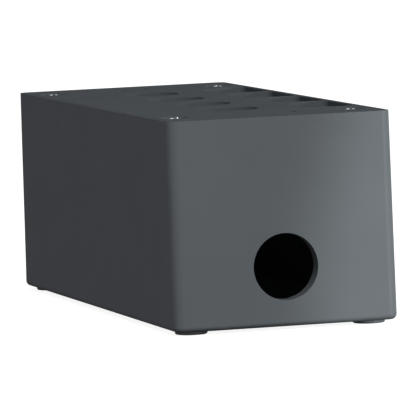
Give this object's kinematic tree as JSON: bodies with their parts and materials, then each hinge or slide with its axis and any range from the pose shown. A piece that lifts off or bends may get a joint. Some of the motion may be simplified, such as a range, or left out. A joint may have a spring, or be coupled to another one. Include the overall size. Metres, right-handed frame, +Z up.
{
  "type": "pushbutton enclosure",
  "caption": "Deep rectangular cast enclosure for a row of 22 mm pushbuttons, empty, with a flush screwed cover, label pockets and a cable entry in one end.",
  "frame": {"origin": "middle of the footprint, on the plane of the mounting pads", "axes": "+Z up through the cover, +Y along the row of button holes away from the cable entry, +X towards the label pockets"},
  "size_m": [0.0824, 0.2124, 0.0755],
  "materials": {
    "casting": "satin dark grey powder coat on cast aluminium",
    "cover_casting": "satin dark grey powder coat on cast aluminium",
    "gasket": "matt closed-cell rubber",
    "screw_steel": "bright zinc-plated steel",
    "seal": "smooth black rubber",
    "nylon": "natural nylon",
    "earth_brass": "plain brass"
  },
  "bodies": {
    "root": {"housing": "casting", "cover": "cover_casting", "cover_gasket": "gasket", "cover_screw_1": "screw_steel", "cover_screw_2": "screw_steel", "cover_screw_3": "screw_steel", "cover_screw_4": "screw_steel", "screw_seal_1": "seal", "screw_seal_2": "seal", "screw_seal_3": "seal", "screw_seal_4": "seal", "screw_retainer_1": "nylon", "screw_retainer_2": "nylon", "screw_retainer_3": "nylon", "screw_retainer_4": "nylon", "earth_screw": "screw_steel", "earth_washer": "screw_steel", "earth_clamp": "earth_brass"}
  },
  "joints": []
}
